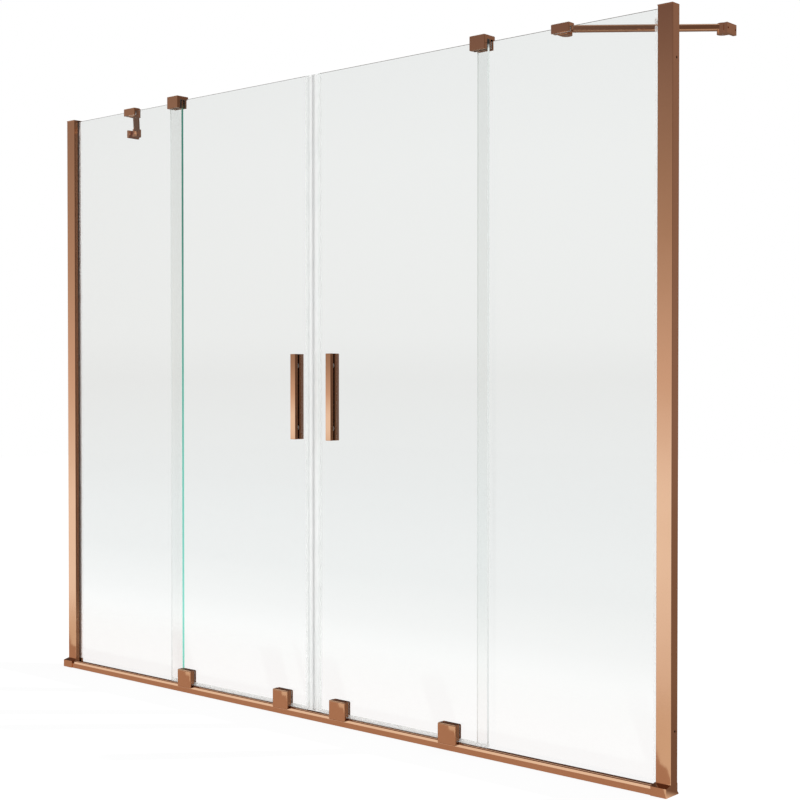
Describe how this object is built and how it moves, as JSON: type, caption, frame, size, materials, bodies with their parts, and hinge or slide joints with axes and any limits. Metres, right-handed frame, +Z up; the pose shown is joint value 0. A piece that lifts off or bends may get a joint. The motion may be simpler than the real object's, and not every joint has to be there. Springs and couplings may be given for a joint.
{
  "type": "sliding bath screen",
  "caption": "Frameless glass bath screen: fixed end panes, middle doors that slide open on a rim rail, wall profiles, bar handles and stabiliser bars.",
  "frame": {"origin": "on the bath rim, at the middle of the screen, on the centre line of the fixed glass", "axes": "+X along the screen to the right seen from the room, +Y from the room towards the bath, +Z up"},
  "size_m": [1.9, 0.2639, 1.508],
  "materials": {
    "rose_gold_fitting": "polished rose-gold plating on brass",
    "rose_gold_profile": "polished rose-gold finish on extruded aluminium",
    "clear_glass": "clear toughened glass with polished green edges",
    "clear_seal": "clear soft vinyl",
    "clear_plastic": "clear vinyl washers and pads",
    "guide_plastic": "black acetal",
    "magnet": "white flexible magnet strip",
    "steel": "stainless steel",
    "roller_plastic": "white acetal"
  },
  "bodies": {
    "frame": {"bottom_rail": "rose_gold_profile", "clamp_pads": "clear_plastic", "guide_liners": "guide_plastic", "guide_pads": "clear_plastic", "guide_screws": "steel", "left_clamp_knuckle": "rose_gold_fitting", "left_fixed_pane": "clear_glass", "left_foot": "rose_gold_fitting", "left_glass_clamp": "rose_gold_fitting", "left_guide_block": "rose_gold_fitting", "left_stay_bar": "rose_gold_fitting", "left_wall_knuckle": "rose_gold_fitting", "left_wall_plate": "rose_gold_fitting", "left_wall_profile": "rose_gold_profile", "pivot_screws": "steel", "profile_caps": "rose_gold_profile", "profile_gaskets": "clear_seal", "rail_gaskets": "clear_seal", "right_clamp_knuckle": "rose_gold_fitting", "right_fixed_pane": "clear_glass", "right_foot": "rose_gold_fitting", "right_glass_clamp": "rose_gold_fitting", "right_guide_block": "rose_gold_fitting", "right_stay_bar": "rose_gold_fitting", "right_wall_knuckle": "rose_gold_fitting", "right_wall_plate": "rose_gold_fitting", "right_wall_profile": "rose_gold_profile", "stay_screws": "steel"},
    "left_door": {"left_carriage_pads": "clear_plastic", "left_clamp_plates": "rose_gold_fitting", "left_clamp_screws": "steel", "left_closing_seal": "clear_seal", "left_handle_studs": "steel", "left_handle_washers": "clear_plastic", "left_inner_handle": "rose_gold_fitting", "left_inner_housing": "rose_gold_fitting", "left_magnet_strip": "magnet", "left_outer_handle": "rose_gold_fitting", "left_outer_housing": "rose_gold_fitting", "left_roller_axles": "steel", "left_sliding_pane": "clear_glass", "left_wiper_seal": "clear_seal"},
    "right_door": {"right_carriage_pads": "clear_plastic", "right_clamp_plates": "rose_gold_fitting", "right_clamp_screws": "steel", "right_closing_seal": "clear_seal", "right_handle_studs": "steel", "right_handle_washers": "clear_plastic", "right_inner_handle": "rose_gold_fitting", "right_inner_housing": "rose_gold_fitting", "right_magnet_strip": "magnet", "right_outer_handle": "rose_gold_fitting", "right_outer_housing": "rose_gold_fitting", "right_roller_axles": "steel", "right_sliding_pane": "clear_glass", "right_wiper_seal": "clear_seal"},
    "left_inner_roller": {"left_inner_roller": "roller_plastic"},
    "left_outer_roller": {"left_outer_roller": "roller_plastic"},
    "right_inner_roller": {"right_inner_roller": "roller_plastic"},
    "right_outer_roller": {"right_outer_roller": "roller_plastic"}
  },
  "joints": [
    {"name": "left_door_slide", "type": "slide", "parent": "frame", "child": "left_door", "axis": [-1, 0, 0], "range_m": [0, 0.395]},
    {"name": "right_door_slide", "type": "slide", "parent": "frame", "child": "right_door", "axis": [1, 0, 0], "range_m": [0, 0.395]},
    {"name": "left_inner_roll", "type": "hinge", "parent": "left_door", "child": "left_inner_roller", "pos_m": [-0.0985, -0.02, 0.0288], "axis": [0, 1, 0], "continuous": true},
    {"name": "left_outer_roll", "type": "hinge", "parent": "left_door", "child": "left_outer_roller", "pos_m": [-0.4465, -0.02, 0.0288], "axis": [0, 1, 0], "continuous": true},
    {"name": "right_inner_roll", "type": "hinge", "parent": "right_door", "child": "right_inner_roller", "pos_m": [0.0875, -0.02, 0.0288], "axis": [0, 1, 0], "continuous": true},
    {"name": "right_outer_roll", "type": "hinge", "parent": "right_door", "child": "right_outer_roller", "pos_m": [0.4115, -0.02, 0.0288], "axis": [0, 1, 0], "continuous": true}
  ],
  "couplings": [
    {"joint": "left_inner_roll", "follows": "left_door_slide", "rad_per_m": -90.909},
    {"joint": "left_outer_roll", "follows": "left_door_slide", "rad_per_m": -90.909},
    {"joint": "right_inner_roll", "follows": "right_door_slide", "rad_per_m": 90.909},
    {"joint": "right_outer_roll", "follows": "right_door_slide", "rad_per_m": 90.909}
  ]
}
